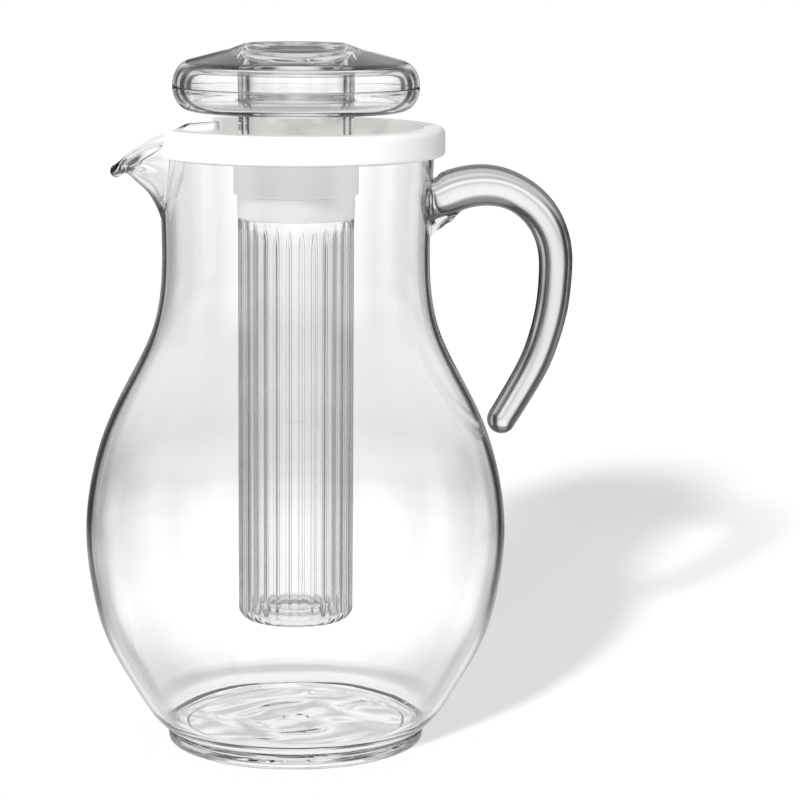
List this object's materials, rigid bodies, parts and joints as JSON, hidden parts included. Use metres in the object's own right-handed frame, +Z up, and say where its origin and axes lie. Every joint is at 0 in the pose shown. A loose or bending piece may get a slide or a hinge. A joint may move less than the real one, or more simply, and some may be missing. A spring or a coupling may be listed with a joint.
{
  "type": "pitcher",
  "caption": "Clear round-bellied pitcher with pouring spout and open bow handle; its white lid hangs a fluted ice tube in the middle, and a flat clear knob closes the tube",
  "frame": {"origin": "middle of the surface the foot stands on", "axes": "+Z up along the jug's axis, -X towards the spout, +X towards the handle, +Y to the side away from the picture's camera"},
  "size_m": [0.1904, 0.1652, 0.2749],
  "materials": {
    "clear_jug": "polished clear, injection moulded",
    "clear_tube": "polished clear, fluted",
    "clear_knob": "polished clear",
    "white_plastic": "satin white moulding",
    "silicone": "translucent silicone"
  },
  "bodies": {
    "jug": {"pitcher_body": "clear_jug", "handle": "clear_jug"},
    "lid": {"lid": "white_plastic"},
    "knob": {"knob_base": "clear_knob", "knob_top": "clear_knob", "knob_seal": "silicone"},
    "seal": {"tube_seal": "silicone"},
    "tube": {"tube_collar": "white_plastic", "ice_tube": "clear_tube"}
  },
  "joints": [
    {"name": "lid_lift", "type": "slide", "parent": "jug", "child": "lid", "axis": [0, 0, 1], "range_m": [0, 0.205]},
    {"name": "knob_lift", "type": "slide", "parent": "lid", "child": "knob", "axis": [0, 0, 1], "range_m": [0, 0.03]},
    {"name": "seal_drop", "type": "slide", "parent": "lid", "child": "seal", "axis": [0, 0, -1], "range_m": [0, 0.0062]},
    {"name": "tube_turn", "type": "hinge", "parent": "seal", "child": "tube", "pos_m": [0, 0, 0.2], "axis": [0, 0, -1], "range_deg": [0, 540]}
  ],
  "couplings": [
    {"joint": "seal_drop", "follows": "tube_turn", "m_per_rad": 0.000637}
  ]
}
